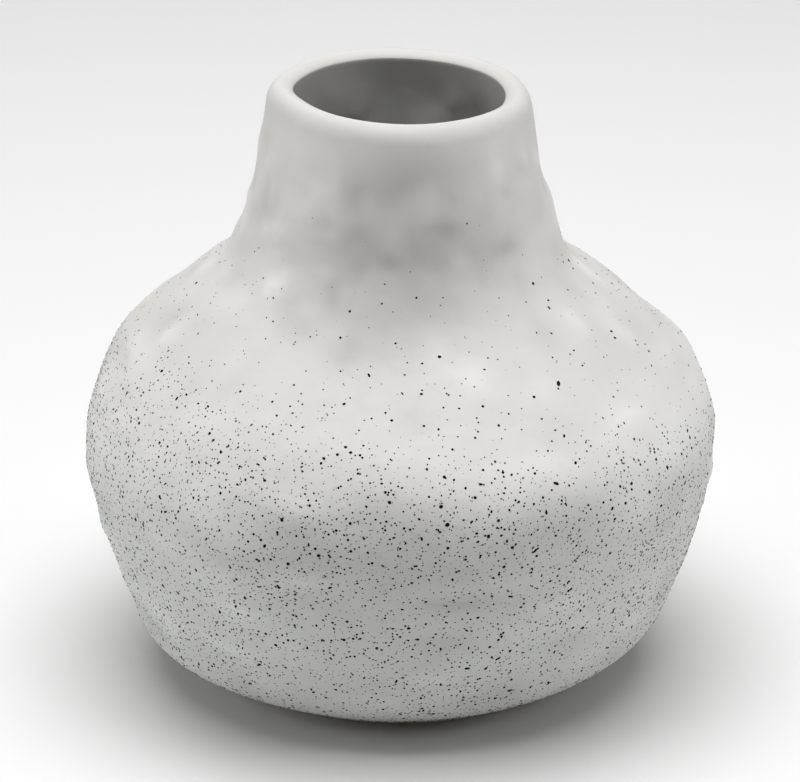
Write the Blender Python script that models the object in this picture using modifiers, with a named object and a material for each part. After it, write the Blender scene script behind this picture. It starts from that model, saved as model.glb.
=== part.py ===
# A squat bottle-form vase: a round belly on a small foot ring, a sloping shoulder, and a short
# tapering neck with a thick rounded lip. One fired clay body carries a glaze coat outside and
# another inside, and stands on four felt pads. Metres, +Z up, the middle of the footprint at the origin.
import math

import bpy
import numpy as np

# Driving sizes.
vase_height = 0.1551         # floor to the top of the lip
belly_radius = 0.081         # widest point of the glazed outside
belly_height = 0.0600        # height of that widest point above the floor
shoulder_height = 0.0845     # where the belly turns in towards the neck
collar_radius = 0.0425       # where the shoulder meets the neck
collar_height = 0.1135
mouth_radius = 0.0258        # clear opening
lip_radius = 0.0033          # round of the lip, half its thickness
wall_thickness = 0.0052      # clay and both coats together, below the lip
lip_depth = 0.014            # how far down the lip takes to thin to the wall
foot_radius = 0.0505         # outer edge of the glazed outside at the foot
foot_ring_width = 0.0085
foot_recess = 0.0018         # how far the underside is hollowed inside the ring
floor_thickness = 0.0050     # clay under the inner coat
bare_foot = 0.0008           # unglazed clay showing under the outer coat
coat_thickness = 0.0005
coat_wrap = 0.0240           # how far the outer coat runs down inside the mouth
fit_gap = 0.0003             # between pieces that touch
pad_radius = 0.0032
pad_thickness = 0.0015
pad_count = 4
pad_edge = 0.0003            # rounding of a pad's rims

turn_steps = 40
span_steps = 2               # points in each stretch of the outline
lip_steps = 6                # points over the round of the lip

# Places that follow from them.
clay_bottom = pad_thickness + fit_gap
foot_height = clay_bottom + bare_foot
neck_taper = math.atan2(collar_radius - mouth_radius - 2 * lip_radius, vase_height - collar_height)
coat_depth = coat_thickness + fit_gap
floor_height = clay_bottom + foot_recess + floor_thickness + coat_depth
lip_centre = np.array((mouth_radius + lip_radius, vase_height - lip_radius))


def clear_scene():
    for scene_object in list(bpy.data.objects):
        bpy.data.objects.remove(scene_object, do_unlink=True)


def new_collection(name):
    collection = bpy.data.collections.new(name)
    bpy.context.scene.collection.children.link(collection)
    return collection


def new_material(name, color, roughness):
    material = bpy.data.materials.new(name)
    material.use_nodes = True
    shader = material.node_tree.nodes["Principled BSDF"]
    shader.inputs["Base Color"].default_value = (*color, 1.0)
    shader.inputs["Roughness"].default_value = roughness
    shader.inputs["Metallic"].default_value = 0.0
    return material


def between(low, high, share):
    return low + (high - low) * share


def smooth_line(stations, steps):
    """Points (radius, height) on a Catmull-Rom curve through the stations."""
    ends = [2 * stations[0] - stations[1], *stations, 2 * stations[-1] - stations[-2]]
    points = []
    for before, start, end, after in zip(ends, ends[1:], ends[2:], ends[3:]):
        for t in np.arange(steps) / steps:
            leave, arrive = (end - before) / 2, (after - start) / 2
            points.append(
                (2 * t**3 - 3 * t**2 + 1) * start + (t**3 - 2 * t**2 + t) * leave
                + (3 * t**2 - 2 * t**3) * end + (t**3 - t**2) * arrive
            )
    return np.array([*points, stations[-1]])


def outside_line():
    """The glazed outside, from the lip's round down to the foot."""
    lip_side = lip_centre + lip_radius * np.array((math.cos(neck_taper), math.sin(neck_taper)))
    neck_middle = between(collar_height, vase_height, 0.42)
    slope = (between(collar_radius, belly_radius, 0.31), between(shoulder_height, collar_height, 0.57))
    flank = (between(foot_radius, belly_radius, 0.80), between(foot_height, belly_height, 0.50))
    heel = (between(foot_radius, belly_radius, 0.53), between(foot_height, belly_height, 0.18))
    stations = [
        lip_side,
        (between(collar_radius, lip_side[0], 0.56), neck_middle),
        (collar_radius, collar_height),
        slope,
        (between(collar_radius, belly_radius, 0.80), shoulder_height),
        (belly_radius, belly_height),
        flank,
        heel,
        (foot_radius, foot_height),
    ]
    return smooth_line([np.array(station) for station in stations], span_steps)


def inset(line, depths):
    """The line moved towards the clay by each point's depth, with its corners mitred."""
    along = np.diff(line, axis=0)
    along /= np.linalg.norm(along, axis=1, keepdims=True)
    square = np.stack([along[:, 1], -along[:, 0]], axis=1)
    before = np.concatenate([square[:1], square])
    after = np.concatenate([square, square[-1:]])
    mitre = (before + after) / (1 + np.sum(before * after, axis=1, keepdims=True))
    return line + mitre * np.reshape(depths, (-1, 1))


def cut_line(line, height):
    """The part of a line above a height, ending exactly at it. A line that stops short is run on."""
    last = min(np.flatnonzero(line[:, 1] > height)[-1], len(line) - 2)
    upper, lower = line[last], line[last + 1]
    end = upper + (lower - upper) * (upper[1] - height) / (upper[1] - lower[1])
    return np.concatenate([line[:last + 1], [end]])


def lip_arc(first_angle, last_angle, depth):
    radius = lip_radius - depth
    angles = np.linspace(first_angle, last_angle, lip_steps + 1)
    return lip_centre + radius * np.stack([np.cos(angles), np.sin(angles)], axis=1)


def outer_side(depth):
    """Lip top to foot, at a depth under the glazed outside."""
    arc = lip_arc(math.pi / 2, neck_taper, depth)
    return np.concatenate([arc[:-1], inset(outside_line(), depth)])


def inner_side(depth):
    """Lip top to the middle of the floor, at a depth under the glazed inside."""
    arc = lip_arc(math.pi / 2, math.pi, depth)
    outside = outside_line()[1:]
    near_lip = np.clip((outside[:, 1] - vase_height + lip_depth) / (lip_depth - lip_radius), 0, 1)
    thickness = between(wall_thickness, 2 * lip_radius, near_lip)
    floor = floor_height - depth
    wall = cut_line(inset(outside, thickness - depth), floor)
    return np.concatenate([arc, wall, [(wall[-1][0] / 2, floor), (0.0, floor)]])


def turned(name, line, material, collection):
    """Turns a line of (radius, height) points about the Z axis."""
    mesh = bpy.data.meshes.new(name)
    edges = [(i, i + 1) for i in range(len(line) - 1)]
    mesh.from_pydata([(radius, 0.0, height) for radius, height in line], edges, [])
    mesh.materials.append(material)
    turned_object = bpy.data.objects.new(name, mesh)
    collection.objects.link(turned_object)
    screw = turned_object.modifiers.new("turn", "SCREW")
    screw.steps = turn_steps
    screw.render_steps = turn_steps
    screw.use_merge_vertices = True
    screw.merge_threshold = 0.00005
    screw.use_smooth_shade = True
    return turned_object


def add_shell(shell_object):
    solidify = shell_object.modifiers.new("coat", "SOLIDIFY")
    solidify.thickness = coat_thickness
    solidify.offset = -1.0
    solidify.use_even_offset = True


def build_clay_body(collection):
    """One fired piece: lip, neck, shoulder, belly, floor and foot ring."""
    outside = outer_side(coat_depth)
    inside = inner_side(coat_depth)
    ring_outer = outside[-1][0] - (outside[-1][1] - clay_bottom) / 2
    ring_inner = ring_outer - foot_ring_width
    recess_edge = ring_inner - foot_recess
    underside = [
        (ring_outer, clay_bottom),
        (ring_inner, clay_bottom),
        (recess_edge, clay_bottom + foot_recess),
        (recess_edge / 2, clay_bottom + foot_recess),
        (0.0, clay_bottom + foot_recess),
    ]
    line = np.concatenate([inside[:0:-1], outside, underside])
    material = new_material("fired_clay", (0.62, 0.57, 0.50), 0.85)
    turned("vessel_body", line, material, collection)
    return between(ring_inner, ring_outer, 0.5)


def build_outer_coat(collection):
    inside = cut_line(inner_side(0.0), vase_height - coat_wrap)
    line = np.concatenate([inside[:0:-1], outer_side(0.0)])
    material = new_material("matt_outer_glaze", (0.66, 0.66, 0.64), 0.62)
    add_shell(turned("outer_glaze", line, material, collection))


def build_inner_coat(collection):
    whole = inner_side(0.0)
    start = cut_line(whole, vase_height - coat_wrap - fit_gap)
    line = np.concatenate([start[-1:], whole[len(start) - 1:]])[::-1]
    material = new_material("inner_glaze_lining", (0.58, 0.58, 0.56), 0.45)
    add_shell(turned("inner_glaze", line, material, collection))


def build_pad(number, ring_middle, material, collection):
    angle = math.tau * (number - 0.5) / pad_count
    bpy.ops.mesh.primitive_cylinder_add(
        vertices=24, radius=pad_radius, depth=pad_thickness,
        location=(ring_middle * math.cos(angle), ring_middle * math.sin(angle), pad_thickness / 2),
    )
    pad = bpy.context.object
    pad.name = f"foot_pad_{number}"
    pad.data.name = pad.name
    pad.data.materials.append(material)
    bpy.context.collection.objects.unlink(pad)
    collection.objects.link(pad)
    rims = pad.modifiers.new("rims", "BEVEL")
    rims.width = pad_edge
    rims.segments = 1
    rims.limit_method = "ANGLE"
    pad.data.shade_smooth()
    pad.data.set_sharp_from_angle(angle=math.radians(40))


def build_vase():
    clear_scene()
    collection = new_collection("ceramic_vase")
    ring_middle = build_clay_body(collection)
    build_outer_coat(collection)
    build_inner_coat(collection)
    felt = new_material("felt_pad", (0.05, 0.05, 0.05), 0.95)
    for number in range(1, pad_count + 1):
        build_pad(number, ring_middle, felt, collection)


build_vase()
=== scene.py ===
import math

import bpy
import numpy as np
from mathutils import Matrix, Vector


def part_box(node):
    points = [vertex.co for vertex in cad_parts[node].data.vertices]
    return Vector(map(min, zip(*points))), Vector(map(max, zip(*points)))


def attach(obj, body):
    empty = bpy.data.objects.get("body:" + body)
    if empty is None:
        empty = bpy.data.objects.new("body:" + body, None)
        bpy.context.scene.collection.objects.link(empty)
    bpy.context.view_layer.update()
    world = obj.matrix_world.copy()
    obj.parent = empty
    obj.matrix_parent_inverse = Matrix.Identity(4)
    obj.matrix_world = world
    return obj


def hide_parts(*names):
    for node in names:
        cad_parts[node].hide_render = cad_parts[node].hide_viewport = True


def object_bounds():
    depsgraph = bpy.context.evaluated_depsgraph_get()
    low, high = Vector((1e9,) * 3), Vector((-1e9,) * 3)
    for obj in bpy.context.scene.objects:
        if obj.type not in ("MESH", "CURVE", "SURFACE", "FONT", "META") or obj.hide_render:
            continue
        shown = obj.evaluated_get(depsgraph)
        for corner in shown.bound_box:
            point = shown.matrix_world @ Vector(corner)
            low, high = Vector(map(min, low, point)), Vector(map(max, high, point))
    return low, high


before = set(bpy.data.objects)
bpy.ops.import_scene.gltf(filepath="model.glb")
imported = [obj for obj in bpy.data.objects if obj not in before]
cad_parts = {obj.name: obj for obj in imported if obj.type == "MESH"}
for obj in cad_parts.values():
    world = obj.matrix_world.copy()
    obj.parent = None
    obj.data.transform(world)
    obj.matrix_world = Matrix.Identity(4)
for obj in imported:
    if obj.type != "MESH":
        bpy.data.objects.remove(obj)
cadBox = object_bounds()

print("frame loaded:", ", ".join(sorted(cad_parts)))

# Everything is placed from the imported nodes' boxes.
vaseHeight = cadBox[1].z
bellyRadius = cadBox[1].x
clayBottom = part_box("vessel_body")[0].z
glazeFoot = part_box("outer_glaze")[0].z
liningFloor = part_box("inner_glaze")[0].z
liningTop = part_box("inner_glaze")[1].z

vaseShape = {
    # (share of the belly's radius, share of the height) down the outside, lip to foot
    "outline": [
        (0.4078, 0.9724), (0.4215, 0.9330), (0.4500, 0.8550), (0.4905, 0.7740), (0.5430, 0.7130),
        (0.6500, 0.6610), (0.8060, 0.5970), (0.9120, 0.5400), (0.9760, 0.4610), (0.9910, 0.3740),
        (0.9600, 0.2750), (0.9180, 0.1970), (0.8660, 0.1330), (0.8300, 0.0920), (0.7520, 0.0555),
    ],
    "footShare": 0.624,        # the foot's radius beside the belly's
    "lipOut": 0.0040, "lipDrop": 0.0060, "lipEnd": 0.29,         # the lip's soft outer roll
    "lipIn": 0.0029, "lipInDrop": 0.0018, "innerSquare": 1.4,    # and its slope down to a crisp inner edge
    "edgeHold": 0.15,          # a row this far on, as a share, keeps that edge crisp
    "wall": 0.0052,            # clay and both coats
    "lipThins": 0.014,         # depth over which the lip thins to the wall
    "coat": 0.0005,
    "coatGap": 0.0003,
    "ringWidth": 0.0085,
    "recess": 0.0018,
    "aroundOuter": 224, "aroundInner": 144,    # points round each row
    "rowStep": 0.0016,         # between rows down the outside
    "spanPoints": 12, "lipPoints": 14, "floorPoints": 24, "underPoints": 12,
}


def between(low, high, share):
    return low + (high - low) * share


def smoothCurve(stations, perSpan):
    # a smooth curve through stations that may be unevenly spaced
    stations = [np.array(station, float) for station in stations]
    ends = [2 * stations[0] - stations[1], *stations, 2 * stations[-1] - stations[-2]]
    points = []
    for before, start, end, after in zip(ends, ends[1:], ends[2:], ends[3:]):
        span = np.linalg.norm(end - start)
        leave = (end - before) * span / (span + np.linalg.norm(start - before))
        arrive = (after - start) * span / (span + np.linalg.norm(after - end))
        for t in np.arange(perSpan) / perSpan:
            points.append(
                (2 * t**3 - 3 * t**2 + 1) * start + (t**3 - 2 * t**2 + t) * leave
                + (3 * t**2 - 2 * t**3) * end + (t**3 - t**2) * arrive
            )
    return np.array([*points, stations[-1]])


def evenly(line, step):
    # the same line with its points a step apart
    lengths = np.concatenate([[0], np.cumsum(np.linalg.norm(np.diff(line, axis=0), axis=1))])
    marks = np.linspace(0, lengths[-1], max(2, round(lengths[-1] / step)))
    return np.stack([np.interp(marks, lengths, line[:, k]) for k in (0, 1)], axis=1)


def inset(line, depths):
    # moves a line into the clay, square to itself, with mitred corners
    along = np.diff(line, axis=0)
    along /= np.linalg.norm(along, axis=1, keepdims=True)
    square = np.stack([along[:, 1], -along[:, 0]], axis=1)
    before = np.concatenate([square[:1], square])
    after = np.concatenate([square, square[-1:]])
    mitre = (before + after) / (1 + np.sum(before * after, axis=1, keepdims=True))
    return line + mitre * np.reshape(depths, (-1, 1))


neckTop = vaseShape["outline"][0][0] * bellyRadius
lipMiddle = neckTop - vaseShape["lipOut"] * math.cos(vaseShape["lipEnd"])


def outsideLine():
    stations = [(r * bellyRadius, z * vaseHeight) for r, z in vaseShape["outline"]]
    stations.append((vaseShape["footShare"] * bellyRadius, glazeFoot))
    return evenly(smoothCurve(stations, vaseShape["spanPoints"]), vaseShape["rowStep"])


def lipArc(lastAngle, out, drop, depth, squareness=2.0):
    # a squareness of 2 is a quarter round, and 1 would be a straight slope
    angles = np.linspace(math.pi / 2, lastAngle, vaseShape["lipPoints"])
    across, up = np.cos(angles), np.sin(angles)
    power = 2 / squareness
    across, up = np.sign(across) * abs(across) ** power, abs(up) ** power
    radii = lipMiddle + (out - depth) * across
    heights = vaseHeight - drop + (drop - depth) * up
    return np.stack([radii, heights], axis=1)


def cutAt(line, height):
    # the part of a line above a height
    last = min(np.flatnonzero(line[:, 1] > height)[-1], len(line) - 2)
    upper, lower = line[last], line[last + 1]
    end = upper + (lower - upper) * (upper[1] - height) / (upper[1] - lower[1])
    return np.concatenate([line[:last + 1], [end]])


def outerSide(depth):
    # lip top to foot, at a depth under the glazed outside
    roll = lipArc(vaseShape["lipEnd"], vaseShape["lipOut"], vaseShape["lipDrop"], depth)
    return np.concatenate([roll[:-1], inset(outsideLine(), depth)])


def innerSide(depth):
    # lip top to the middle of the floor, at a depth under the glazed inside
    outside = outsideLine()[2:]
    thins, lip = vaseShape["lipThins"], vaseShape["lipIn"]
    nearLip = np.clip((outside[:, 1] - vaseHeight + thins) / (thins - lip), 0, 1)
    nearLip = nearLip * nearLip * (3 - 2 * nearLip)
    thickness = between(vaseShape["wall"], 2 * lip, nearLip)
    floor = liningFloor + vaseShape["coat"] - depth
    wall = cutAt(inset(outside, thickness - depth), floor)
    across = np.linspace(wall[-1][0], 0, vaseShape["floorPoints"])[1:]
    slope = lipArc(math.pi, lip, vaseShape["lipInDrop"], depth, vaseShape["innerSquare"])
    hold = between(slope[-1], wall[0], vaseShape["edgeHold"])
    return np.concatenate([slope, [hold], wall, [(radius, floor) for radius in across]])


def turned(name, line, around):
    # turns a line of (radius, height) points about the axis, with closed poles
    angles = np.arange(around) * math.tau / around
    points, rows = [], []
    for radius, height in line:
        if radius < 1e-6:
            rows.append([len(points)])
            points.append((0.0, 0.0, height))
            continue
        rows.append(list(range(len(points), len(points) + around)))
        points += [(radius * math.cos(a), radius * math.sin(a), height) for a in angles]
    faces = []
    for upper, lower in zip(rows, rows[1:]):
        for j in range(around):
            k = (j + 1) % around
            corners = [upper[j % len(upper)], lower[j % len(lower)]]
            corners += [lower[k % len(lower)], upper[k % len(upper)]]
            faces.append(list(dict.fromkeys(corners)))    # a row of one point gives triangles
    mesh = bpy.data.meshes.new(name)
    mesh.from_pydata(points, [], faces)
    piece = bpy.data.objects.new(name, mesh)
    bpy.context.scene.collection.objects.link(piece)
    return piece


pinches = {
    # (turn from the front in degrees, share of the height, half width in degrees,
    # half height as a share, depth in metres); a negative depth is a swelling
    "marks": [
        (14, 0.455, 32, 0.084, -0.0030),    # the belly's fullest places
        (-34, 0.408, 26, 0.078, -0.0027),
        (-18, 0.376, 14, 0.034, -0.0008),
        (52, 0.440, 24, 0.080, -0.0020),
        (20, 0.490, 10, 0.030, -0.0006),
        (2, 0.250, 28, 0.085, 0.0013),      # pressed in below them
        (4, 0.638, 32, 0.074, 0.0032),      # thumb hollows where the shoulder starts
        (-44, 0.600, 26, 0.060, 0.0010),
        (24, 0.775, 24, 0.055, 0.0014),     # and round the collar
        (-14, 0.780, 22, 0.050, 0.0016),
        (6, 0.780, 20, 0.036, 0.0006),
        (8, 0.957, 36, 0.060, -0.0020),     # the lip's front stands out a little
        (-34, 0.860, 12, 0.050, -0.0006),   # finger marks up the neck
        (22, 0.860, 9, 0.030, -0.0004),
        (40, 0.900, 13, 0.050, -0.0005),
        (-10, 0.700, 16, 0.030, -0.0005),
        (-62, 0.060, 32, 0.055, -0.0019),   # the foot runs out to the left
        (114, 0.576, 18, 0.029, 0.0031),    # the crease on the right shoulder
        (104, 0.680, 34, 0.060, 0.0020),    # the neck sits a little to the left
        (98, 0.850, 26, 0.070, 0.0009),
        (-112, 0.670, 32, 0.050, -0.0020),
        (-104, 0.560, 24, 0.050, -0.0009),
        (-104, 0.744, 18, 0.022, -0.0009),  # a softer bend at the collar on the left
        (-110, 0.704, 18, 0.018, 0.0006),
        (112, 0.650, 14, 0.017, -0.0012),
        (90, 0.420, 30, 0.070, -0.0007),
        (-92, 0.370, 30, 0.050, -0.0006),
        (-98, 0.760, 30, 0.050, 0.0003),
        (-60, 0.990, 19, 0.060, 0.0006),    # the mouth is not quite round
        (-118, 0.990, 22, 0.060, 0.0003),
        (-90, 0.990, 15, 0.060, -0.0006),
        (66, 0.990, 16, 0.060, -0.0005),
        (24, 0.990, 9, 0.050, 0.0002),
        (128, 0.990, 24, 0.060, -0.0004),
    ],
    # soft marks at random over the back, and shallow finger dabs everywhere but the lip: ranges of
    # turn, height, half width and half height, and the usual depth
    "backMarks": {
        "count": 60, "turns": (132, 228), "heights": (0.10, 0.95),
        "widths": (10, 26), "talls": (0.04, 0.09), "depth": 0.0012,
    },
    "dabs": {
        "count": 1100, "turns": (-180, 180), "heights": (0.10, 0.92),
        "widths": (3, 7), "talls": (0.013, 0.027), "depth": 0.00028,
    },
    "seed": 14,
    "lipLean": 1.6,            # degrees, the left side of the lip stands higher
    "leanFrom": 0.8,           # share of the height where the lean sets in
    "steadyFoot": (0.003, 0.009),    # the foot stays level, and the marks come in between these heights
    "steadyFloor": 0.030,      # the inside floor stays flat near its middle
}
dice = np.random.default_rng(pinches["seed"])


def looseMarks(spread):
    # marks at random places, in the same form as the ones above
    return [(
        dice.uniform(*spread["turns"]), dice.uniform(*spread["heights"]),
        dice.uniform(*spread["widths"]), dice.uniform(*spread["talls"]),
        dice.normal(0, spread["depth"]),
    ) for _ in range(spread["count"])]


backMarks = looseMarks(pinches["backMarks"])
dabs = looseMarks(pinches["dabs"])


def summed(marks, turns, heights):
    # what all the marks add up to at each point, each one fading out round its middle
    total = np.zeros(len(turns))
    for turn, high, wide, tall, depth in marks:
        aside = (turns - turn + 180) % 360 - 180
        total += depth * np.exp(-((aside / wide) ** 2) - ((heights - high) / tall) ** 2)
    return total


def easedIn(values, start, end):
    share = np.clip((values - start) / (end - start), 0, 1)
    return share * share * (3 - 2 * share)


def pressed(points):
    # moves points by the vase's hand pressed dents, the same for every layer
    x, y, z = points.T
    reach = np.maximum(np.hypot(x, y), 1e-6)
    turns = np.degrees(np.arctan2(x, -y))
    push = summed(pinches["marks"] + backMarks + dabs, turns, z / vaseHeight)
    push *= easedIn(z, *pinches["steadyFoot"]) * easedIn(reach, 0, pinches["steadyFloor"])
    lean = math.tan(math.radians(pinches["lipLean"])) * easedIn(z / vaseHeight, pinches["leanFrom"], 1)
    return np.stack([x - push * x / reach, y - push * y / reach, z - lean * x], axis=1)


def pointsOf(mesh):
    flat = np.empty(len(mesh.vertices) * 3)
    mesh.vertices.foreach_get("co", flat)
    return flat.reshape(-1, 3)


def keepOnPoints(mesh, name, values):
    mesh.attributes.new(name, "FLOAT", "POINT").data.foreach_set("value", values)


def shapedPiece(name, line, around, thickness=0.0):
    piece = turned(name, line, around)
    mesh = piece.data
    mesh.vertices.foreach_set("co", pressed(pointsOf(mesh)).ravel())
    mesh.shade_smooth()
    if thickness:
        coat = piece.modifiers.new("coat", "SOLIDIFY")
        coat.thickness = thickness
        coat.offset = -1
    return piece


def addNode(tree, kind, inputs=(), **settings):
    node = tree.nodes.new(kind)
    for name, value in settings.items():
        setattr(node, name, value)
    for name, value in dict(inputs).items():
        if isinstance(value, bpy.types.NodeSocket):
            tree.links.new(value, node.inputs[name])
        else:
            node.inputs[name].default_value = value
    return node


def newMaterial(name, color, roughness=0.5):
    material = bpy.data.materials.new(name)
    material.use_nodes = True
    shader = material.node_tree.nodes["Principled BSDF"]
    shader.inputs["Base Color"].default_value = (*color, 1)
    shader.inputs["Roughness"].default_value = roughness
    return material


def noise(tree, scale, detail=2.0):
    place = addNode(tree, "ShaderNodeTexCoord").outputs["Object"]
    inputs = {"Vector": place, "Scale": scale, "Detail": detail}
    return addNode(tree, "ShaderNodeTexNoise", inputs).outputs["Fac"]


def spanned(tree, value, low, high, start=0.3, end=0.7):
    # noise keeps mostly between 0.3 and 0.7
    inputs = {"Value": value, "From Min": start, "From Max": end, "To Min": low, "To Max": high}
    return addNode(tree, "ShaderNodeMapRange", inputs).outputs["Result"]


def blended(tree, share, first, second):
    mix = addNode(tree, "ShaderNodeMix", data_type="RGBA")
    colorInputs = [socket for socket in mix.inputs if socket.type == "RGBA"]
    for socket, color in zip(colorInputs, (first, second)):
        if isinstance(color, bpy.types.NodeSocket):
            tree.links.new(color, socket)
        else:
            socket.default_value = (*color, 1)
    tree.links.new(share, mix.inputs[0])
    return [socket for socket in mix.outputs if socket.type == "RGBA"][0]


def times(tree, first, second):
    scaled = addNode(tree, "ShaderNodeVectorMath", {0: first, 1: second}, operation="MULTIPLY")
    return scaled.outputs["Vector"]


def wiredUp(material, color, roughness=None, height=None, bumpDepth=0.0):
    tree = material.node_tree
    shader = tree.nodes["Principled BSDF"]
    tree.links.new(color, shader.inputs["Base Color"])
    if roughness is not None:
        tree.links.new(roughness, shader.inputs["Roughness"])
    if height is not None:
        relief = {"Height": height, "Strength": 1.0, "Distance": bumpDepth}
        bump = addNode(tree, "ShaderNodeBump", relief)
        tree.links.new(bump.outputs["Normal"], shader.inputs["Normal"])
    return material


print("outline and hand marks ready")

glazeFinish = {
    "paintedShadeLowColor": (0.759, 0.769, 0.745), "highColor": (0.825, 0.815, 0.799),
    "lowShadeHeights": (0.045, 0.085),    # heights between which the low colour's painted shade and painted green reflection give way to the high colour
    # tints for painted light and painted shade, used by the patches below
    "paintedLightTint": (1.0, 1.0, 1.0), "paintedShadeTint": (0.72, 0.72, 0.712),
    "cloudTint": (0.95, 0.95, 0.945), "cloudScale": 42.0,
    # these patches are painted shade and painted light: turn, share of the height, half width, half
    # height, and how much shade is painted, negative for painted light
    "pools": [
        (8, 0.930, 22, 0.040, 0.80), (-2, 0.805, 24, 0.050, 0.90), (24, 0.785, 16, 0.045, 0.65),
        (2, 0.715, 26, 0.045, 0.60), (-72, 0.610, 22, 0.050, 0.60), (72, 0.610, 22, 0.050, 0.70),
        (-52, 0.430, 20, 0.050, -0.45), (-26, 0.440, 16, 0.040, -0.50), (20, 0.515, 12, 0.030, -0.50),
        (34, 0.555, 8, 0.025, 0.60), (-24, 0.060, 26, 0.040, 0.60), (32, 0.060, 26, 0.040, 0.50),
        (-16, 0.330, 16, 0.050, 0.30), (38, 0.880, 14, 0.050, -0.40), (-38, 0.880, 14, 0.060, -0.40),
        (4, 0.370, 32, 0.075, 0.75), (-40, 0.350, 20, 0.050, 0.25), (58, 0.340, 22, 0.060, 0.15),
        (18, 0.520, 34, 0.045, -0.80), (-40, 0.500, 32, 0.045, -0.60), (60, 0.510, 26, 0.050, -0.75),
        (-80, 0.470, 26, 0.090, -0.60), (84, 0.470, 24, 0.090, -0.60), (150, 0.480, 60, 0.070, -0.50),
        (-150, 0.350, 50, 0.080, 0.50), (170, 0.760, 60, 0.070, 0.50),
        (0, 0.985, 400, 0.022, 0.50),    # painted shade all round the lip
    ],
    "dabShadeShare": 0.30,              # the dabs' hollows take a little painted shade and their swellings a little painted light too
    "roughness": (0.56, 0.68), "grainScale": 260.0, "grainDepth": 0.00006,
    "rippleScale": 130.0, "rippleDepth": 0.00030,
}


def paintedLightAndShade(points):
    # painted light and shade laid on the glaze as tone, from -1 where light is painted to 1 where shade is
    # painted
    x, y, z = points.T
    turns = np.degrees(np.arctan2(x, -y))
    # painted shade in the dabs' hollows, painted light on their swellings
    clouds = summed(dabs, turns, z / vaseHeight) / pinches["dabs"]["depth"]
    return summed(glazeFinish["pools"], turns, z / vaseHeight) + glazeFinish["dabShadeShare"] * clouds


def mattGlaze():
    material = newMaterial("mattGlaze", glazeFinish["highColor"])
    tree = material.node_tree
    place = addNode(tree, "ShaderNodeTexCoord").outputs["Object"]
    z = addNode(tree, "ShaderNodeSeparateXYZ", {"Vector": place}).outputs["Z"]
    # painted shade and reflection: the glaze is darker and greener low on the belly
    rise = spanned(tree, z, 0, 1, *glazeFinish["lowShadeHeights"])
    body = blended(tree, rise, glazeFinish["paintedShadeLowColor"], glazeFinish["highColor"])
    # painted light and shade: the glaze is tinted darker or lighter patch by patch to stand in for shading
    depth = addNode(tree, "ShaderNodeAttribute", attribute_name="paintedLightAndShade").outputs["Fac"]
    thickness = spanned(tree, depth, 0, 1, -1, 1)
    paintedShading = blended(tree, thickness, glazeFinish["paintedLightTint"], glazeFinish["paintedShadeTint"])
    clouds = spanned(tree, noise(tree, glazeFinish["cloudScale"], 4.0), 0, 1)
    clouded = blended(tree, clouds, (1, 1, 1), glazeFinish["cloudTint"])
    color = times(tree, times(tree, body, paintedShading), clouded)
    grain = noise(tree, glazeFinish["grainScale"], 3.0)
    roughness = spanned(tree, grain, *glazeFinish["roughness"])
    ripple = noise(tree, glazeFinish["rippleScale"], 1.5)
    grainShare = glazeFinish["grainDepth"] / glazeFinish["rippleDepth"]
    lift = addNode(tree, "ShaderNodeMath", {0: grain, 1: grainShare, 2: ripple}, operation="MULTIPLY_ADD")
    return wiredUp(material, color, roughness, lift.outputs[0], glazeFinish["rippleDepth"])


outerCoat = shapedPiece(
    "outerGlaze",
    np.concatenate([cutAt(innerSide(0), liningTop)[:0:-1], outerSide(0)]),
    vaseShape["aroundOuter"], vaseShape["coat"],
)
outerCoat.data.materials.append(mattGlaze())
skinPoints = pointsOf(outerCoat.data)
# the painted light and shade, kept on the outer coat's points
keepOnPoints(outerCoat.data, "paintedLightAndShade", paintedLightAndShade(skinPoints))
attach(outerCoat, "root")
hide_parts("outer_glaze")
print("outer glaze laid")

liningFinish = {
    "color": (0.84, 0.84, 0.80), "poolColor": (0.79, 0.795, 0.755), "poolScale": 30.0,
    "roughness": (0.38, 0.52), "grainScale": 220.0, "grainDepth": 0.00005,
}


def liningGlaze():
    material = newMaterial("liningGlaze", liningFinish["color"])
    tree = material.node_tree
    pools = spanned(tree, noise(tree, liningFinish["poolScale"], 3.0), 0, 1)
    color = blended(tree, pools, liningFinish["color"], liningFinish["poolColor"])
    grain = noise(tree, liningFinish["grainScale"], 3.0)
    roughness = spanned(tree, pools, *liningFinish["roughness"], 0, 1)
    return wiredUp(material, color, roughness, grain, liningFinish["grainDepth"])


liningLine = innerSide(0)
liningStart = cutAt(liningLine, liningTop)
innerCoat = shapedPiece(
    "innerGlaze",
    np.concatenate([liningStart[-1:], liningLine[len(liningStart) - 1:]])[::-1],
    vaseShape["aroundInner"], vaseShape["coat"],
)
innerCoat.data.materials.append(liningGlaze())
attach(innerCoat, "root")
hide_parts("inner_glaze")
print("lining laid")

clayFinish = {
    "color": (0.62, 0.57, 0.50),
    "toastColor": (0.50, 0.42, 0.34), "toastScale": 40.0, "toastSpan": (0.42, 0.66),
    "sandColor": (0.33, 0.28, 0.23), "sandScale": 520.0, "sandSpan": (0.58, 0.68), "sandShare": 0.8,
    "roughness": (0.80, 0.95), "grainDepth": 0.00018,
}


def bareClay():
    material = newMaterial("bareClay", clayFinish["color"])
    tree = material.node_tree
    toast = spanned(tree, noise(tree, clayFinish["toastScale"], 3.0), 0, 1, *clayFinish["toastSpan"])
    body = blended(tree, toast, clayFinish["color"], clayFinish["toastColor"])
    sand = noise(tree, clayFinish["sandScale"], 3.0)
    grit = spanned(tree, sand, 0, clayFinish["sandShare"], *clayFinish["sandSpan"])
    color = blended(tree, grit, body, clayFinish["sandColor"])
    roughness = spanned(tree, sand, *clayFinish["roughness"])
    return wiredUp(material, color, roughness, sand, clayFinish["grainDepth"])


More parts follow.
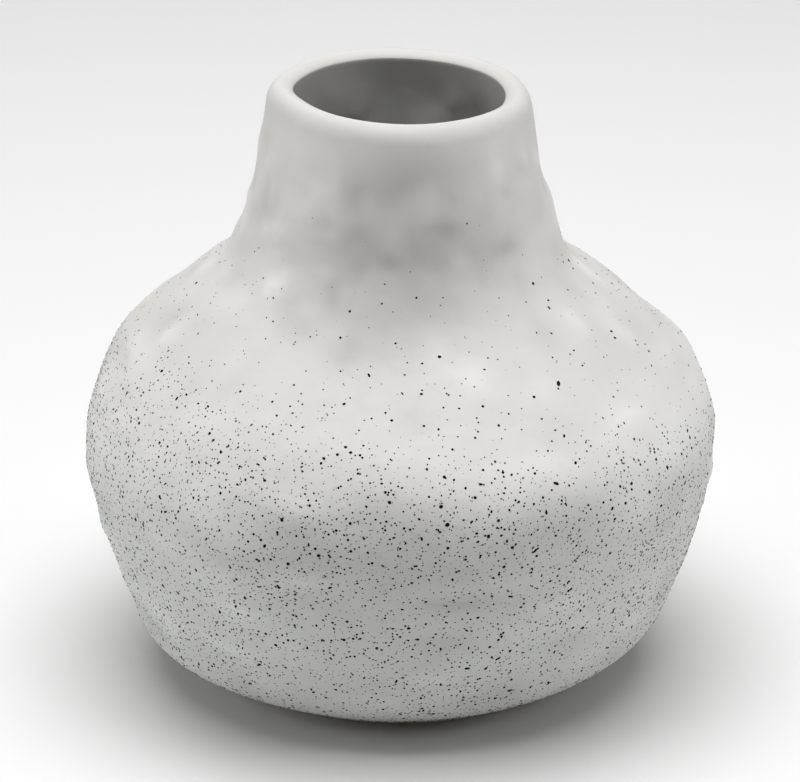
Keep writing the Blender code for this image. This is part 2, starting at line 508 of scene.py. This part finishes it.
under = vaseShape["coat"] + vaseShape["coatGap"]
clayOutside, clayInside = outerSide(under), innerSide(under)
ringOuter = clayOutside[-1][0] - (clayOutside[-1][1] - clayBottom) / 2
ringInner = ringOuter - vaseShape["ringWidth"]
recessEdge = ringInner - vaseShape["recess"]
recessTop = clayBottom + vaseShape["recess"]
underside = [(ringOuter, clayBottom), (ringInner, clayBottom)]
underside += [(recessEdge * share, recessTop) for share in np.linspace(1, 0, vaseShape["underPoints"])]
clayLine = np.concatenate([clayInside[:0:-1], clayOutside, underside])
clay = shapedPiece("clayBody", clayLine, vaseShape["aroundInner"])
clay.data.materials.append(bareClay())
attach(clay, "root")
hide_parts("vessel_body")
print("clay body turned")

speckles = {
    "density": 0.54e6,         # per square metre, low on the belly
    "edgeHeight": 0.0785, "edgeSway": 0.0095, "edgeTurn": -52.0, "edgeSoft": 0.0042,    # their upper edge
    "strayShare": 0.11, "strayHeight": 0.114, "straySoft": 0.0045,    # a few go on up to the collar
    "footShare": 0.75, "footHeight": 0.022,    # a little thinner again near the foot
    "clearLip": 0.965,         # and none above this share of the height
    "clumpScale": 55.0, "clumpSpan": (0.32, 0.68), "clumpLow": 0.70, "clumpHigh": 1.30,
    "stubHeight": 0.32,        # of a speckle beside its own radius
    "narrow": (0.75, 1.10),    # its width beside its radius
    "stretchPower": 12.0,      # the more, the fewer are drawn out far
    # radius, its spread, share of all the speckles, how far a few are drawn out, sides, flat top, seed
    "kinds": {
        "fineSpecks": {
            "Size": 0.000168, "Spread": 0.42, "Share": 0.82, "Stretch": 1.0,
            "Corners": 6, "Top": 0.0, "Seed": 5,
        },
        "dropSpecks": {
            "Size": 0.00026, "Spread": 0.25, "Share": 0.18, "Stretch": 0.4,
            "Corners": 9, "Top": 0.62, "Seed": 11,
        },
    },
    "color": (0.0015, 0.0015, 0.0020), "paleColor": (0.010, 0.010, 0.010),
    "toneScale": 260.0, "toneSpan": (0.45, 0.70),
    "roughness": (0.5, 0.7), "gloss": 0.08,
}


def speckDensity(points):
    # thick low on the belly, thinning out over the shoulder, and higher up on the left
    x, y, z = points.T
    turns = np.arctan2(x, -y) - math.radians(speckles["edgeTurn"])
    edge = speckles["edgeHeight"] + speckles["edgeSway"] * np.cos(turns)
    main = 1 / (1 + np.exp((z - edge) / speckles["edgeSoft"]))
    main *= between(speckles["footShare"], 1, easedIn(z, 0, speckles["footHeight"]))
    stray = speckles["strayShare"] / (1 + np.exp((z - speckles["strayHeight"]) / speckles["straySoft"]))
    bareLip = z > vaseHeight * speckles["clearLip"]
    return np.where(bareLip, 0, np.maximum(main, stray) * speckles["density"])


def speckTree(name):
    # scatters low stubby cones over a skin, their base a little under it
    tree = bpy.data.node_groups.new(name, "GeometryNodeTree")
    tree.interface.new_socket("Geometry", in_out="OUTPUT", socket_type="NodeSocketGeometry")
    tree.interface.new_socket("Skin", in_out="INPUT", socket_type="NodeSocketGeometry")
    for label, kind in (
        ("Share", "Float"), ("Size", "Float"), ("Spread", "Float"), ("Stretch", "Float"),
        ("Clump Scale", "Float"), ("Clump Low", "Float"), ("Clump High", "Float"),
        ("Top", "Float"), ("Height", "Float"), ("Corners", "Int"), ("Seed", "Int"),
        ("Material", "Material"),
    ):
        tree.interface.new_socket(label, in_out="INPUT", socket_type="NodeSocket" + kind)
    given = tree.nodes.new("NodeGroupInput").outputs

    def worked(operation, first, second=0.0):
        return addNode(tree, "ShaderNodeMath", {0: first, 1: second}, operation=operation).outputs[0]

    def anyFloat(seed, low=0.0, high=1.0):
        node = addNode(tree, "FunctionNodeRandomValue", {"Seed": seed}, data_type="FLOAT")
        floats = [socket for socket in node.inputs if socket.type == "VALUE"]
        floats[0].default_value, floats[1].default_value = low, high
        return [socket for socket in node.outputs if socket.type == "VALUE"][0]

    clumpStart, clumpEnd = speckles["clumpSpan"]
    thick = addNode(tree, "GeometryNodeInputNamedAttribute", {"Name": "speckDensity"}, data_type="FLOAT")
    clump = addNode(tree, "ShaderNodeTexNoise", {"Scale": given["Clump Scale"], "Detail": 2.0})
    clumping = addNode(tree, "ShaderNodeMapRange", {
        "Value": clump.outputs["Fac"], "From Min": clumpStart, "From Max": clumpEnd,
        "To Min": given["Clump Low"], "To Max": given["Clump High"],
    })
    clumped = worked("MULTIPLY", thick.outputs[0], clumping.outputs[0])
    density = worked("MULTIPLY", clumped, given["Share"])
    scattered = addNode(tree, "GeometryNodeDistributePointsOnFaces", {
        "Mesh": given["Skin"], "Density": density, "Seed": given["Seed"],
    })
    bell = worked("ADD", worked("ADD", anyFloat(1), anyFloat(2)), anyFloat(3))
    bell = worked("MULTIPLY", worked("SUBTRACT", bell, 1.5), 2.0)    # near a bell curve, spread 1
    size = worked("MULTIPLY", given["Size"], worked("EXPONENT", worked("MULTIPLY", bell, given["Spread"])))
    drawnOut = worked("POWER", anyFloat(4), speckles["stretchPower"])
    longer = worked("ADD", 1.0, worked("MULTIPLY", given["Stretch"], drawnOut))
    narrower = anyFloat(5, *speckles["narrow"])
    scale = addNode(tree, "ShaderNodeCombineXYZ", {
        "X": worked("MULTIPLY", size, longer), "Y": worked("MULTIPLY", size, narrower), "Z": size,
    })
    spin = addNode(tree, "FunctionNodeAxisAngleToRotation", {
        "Axis": (0, 0, 1), "Angle": anyFloat(6, 0, math.tau),
    })
    spun = addNode(tree, "FunctionNodeRotateRotation", {
        "Rotation": scattered.outputs["Rotation"], "Rotate By": spin.outputs[0],
    }, rotation_space="LOCAL")
    stub = addNode(tree, "GeometryNodeMeshCone", {
        "Vertices": given["Corners"], "Radius Top": given["Top"], "Radius Bottom": 1.0,
        "Depth": given["Height"],
    })
    placed = addNode(tree, "GeometryNodeInstanceOnPoints", {
        "Points": scattered.outputs["Points"], "Instance": stub.outputs["Mesh"],
        "Rotation": spun.outputs[0], "Scale": scale.outputs[0],
    })
    real = addNode(tree, "GeometryNodeRealizeInstances", {"Geometry": placed.outputs[0]})
    finished = addNode(tree, "GeometryNodeSetMaterial", {
        "Geometry": real.outputs[0], "Material": given["Material"],
    })
    addNode(tree, "NodeGroupOutput", {"Geometry": finished.outputs[0]})
    return tree


def speckPaint():
    material = newMaterial("speckPaint", speckles["color"])
    tree = material.node_tree
    tree.nodes["Principled BSDF"].inputs["Specular IOR Level"].default_value = speckles["gloss"]
    tone = spanned(tree, noise(tree, speckles["toneScale"]), 0, 1, *speckles["toneSpan"])
    color = blended(tree, tone, speckles["color"], speckles["paleColor"])
    return wiredUp(material, color, spanned(tree, tone, *speckles["roughness"], 0, 1))


def speckPiece(name, tree, values):
    # sprays one kind of speckle over a copy of the outer coat, and keeps the speckles alone
    ground = bpy.data.objects.new(name + "Ground", outerCoat.data.copy())
    bpy.context.scene.collection.objects.link(ground)
    scatter = ground.modifiers.new("scatter", "NODES")
    scatter.node_group = tree
    for item in tree.interface.items_tree:
        if item.item_type == "SOCKET" and item.name in values:
            scatter[item.identifier] = values[item.name]
    evaluated = ground.evaluated_get(bpy.context.evaluated_depsgraph_get())
    mesh = bpy.data.meshes.new_from_object(evaluated)
    bpy.data.objects.remove(ground)
    mesh.name = name
    piece = bpy.data.objects.new(name, mesh)
    bpy.context.scene.collection.objects.link(piece)
    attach(piece, "root")
    print(name, len(mesh.polygons), "faces")


keepOnPoints(outerCoat.data, "speckDensity", speckDensity(skinPoints))
scatterTree = speckTree("speckScatter")
shared = {
    "Clump Scale": speckles["clumpScale"], "Clump Low": speckles["clumpLow"],
    "Clump High": speckles["clumpHigh"], "Height": speckles["stubHeight"], "Material": speckPaint(),
}
for name, own in speckles["kinds"].items():
    speckPiece(name, scatterTree, {**own, **shared})

feltFinish = {
    "color": (0.045, 0.045, 0.047), "roughness": 0.95, "sheen": 0.4,
    "fuzzColor": (0.10, 0.10, 0.10), "fuzzScale": 900.0, "fuzzSpan": (0.4, 0.7), "fuzzDepth": 0.0003,
}


def feltCloth():
    material = newMaterial("felt", feltFinish["color"], feltFinish["roughness"])
    tree = material.node_tree
    tree.nodes["Principled BSDF"].inputs["Sheen Weight"].default_value = feltFinish["sheen"]
    fuzz = noise(tree, feltFinish["fuzzScale"], 3.0)
    tufts = spanned(tree, fuzz, 0, 1, *feltFinish["fuzzSpan"])
    color = blended(tree, tufts, feltFinish["color"], feltFinish["fuzzColor"])
    return wiredUp(material, color, None, fuzz, feltFinish["fuzzDepth"])


felt = feltCloth()
for name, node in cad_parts.items():
    if name.startswith("foot_pad"):
        node.data.materials.clear()
        node.data.materials.append(felt)
print("felt pads finished")

studio = {
    "floorColor": (0.90, 0.90, 0.90), "floorRoughness": 0.8, "floorSize": 14.0,
    "aimShare": 0.4655,        # lights and camera aim at this share of the vase's height
    "topPower": 21.0, "topSize": 1.2, "topPlace": (0.0, 0.0, 1.3),
    "leftPower": 16.0, "rightPower": 14.0, "sideSize": 1.4, "sidePlace": (2.4, 0.0, 0.70),
    # four more whiten the floor all round, and their narrow beams miss the vase
    "farPower": 110.0, "farSize": 2.0, "farAway": 4.4, "farHigh": 3.0, "farSpread": 90.0,
}


def areaLight(name, place, aim, size, power, spread=180.0):
    light = bpy.data.lights.new(name, "AREA")
    light.shape = "SQUARE"
    light.size = size
    light.energy = power
    light.spread = math.radians(spread)
    lamp = bpy.data.objects.new(name, light)
    lamp.location = place
    lamp.rotation_euler = (Vector(aim) - Vector(place)).to_track_quat("-Z", "Y").to_euler()
    bpy.context.scene.collection.objects.link(lamp)


middle = Vector((0, 0, vaseHeight * studio["aimShare"]))
areaLight("topLight", studio["topPlace"], middle, studio["topSize"], studio["topPower"])
x, y, z = studio["sidePlace"]
areaLight("leftLight", (-x, y, z), middle, studio["sideSize"], studio["leftPower"])
areaLight("rightLight", (x, y, z), middle, studio["sideSize"], studio["rightPower"])
for acrossWay, alongWay in ((0, 1), (1, 0), (0, -1), (-1, 0)):
    x, y = acrossWay * studio["farAway"], alongWay * studio["farAway"]
    place = (x, y, studio["farHigh"])
    areaLight("farLight", place, (x, y, 0), studio["farSize"], studio["farPower"], studio["farSpread"])

# the air is white to look at, and gives no light
world = bpy.data.worlds.new("studioAir")
world.use_nodes = True
world.node_tree.nodes["Background"].inputs["Color"].default_value = (1, 1, 1, 1)
seen = addNode(world.node_tree, "ShaderNodeLightPath").outputs["Is Camera Ray"]
world.node_tree.links.new(seen, world.node_tree.nodes["Background"].inputs["Strength"])
bpy.context.scene.world = world

bpy.ops.mesh.primitive_plane_add(size=studio["floorSize"])
floor = bpy.context.object
floor.name = "studioFloor"
floor.data.materials.append(newMaterial("paleFloor", studio["floorColor"], studio["floorRoughness"]))

cameraSetup = {"distance": 1.10, "elevation": 22.62, "lens": 192.4, "sensor": 36.0}
camera = bpy.data.objects.new("camera", bpy.data.cameras.new("camera"))
camera.data.lens = cameraSetup["lens"]
camera.data.sensor_width = cameraSetup["sensor"]
tilt = math.radians(cameraSetup["elevation"])
back = Vector((0, -math.cos(tilt), math.sin(tilt)))
camera.location = middle + back * cameraSetup["distance"]
camera.rotation_euler = (-back).to_track_quat("-Z", "Y").to_euler()
bpy.context.scene.collection.objects.link(camera)
bpy.context.scene.camera = camera
bpy.context.scene.view_settings.view_transform = "Standard"
print("camera and light placed")
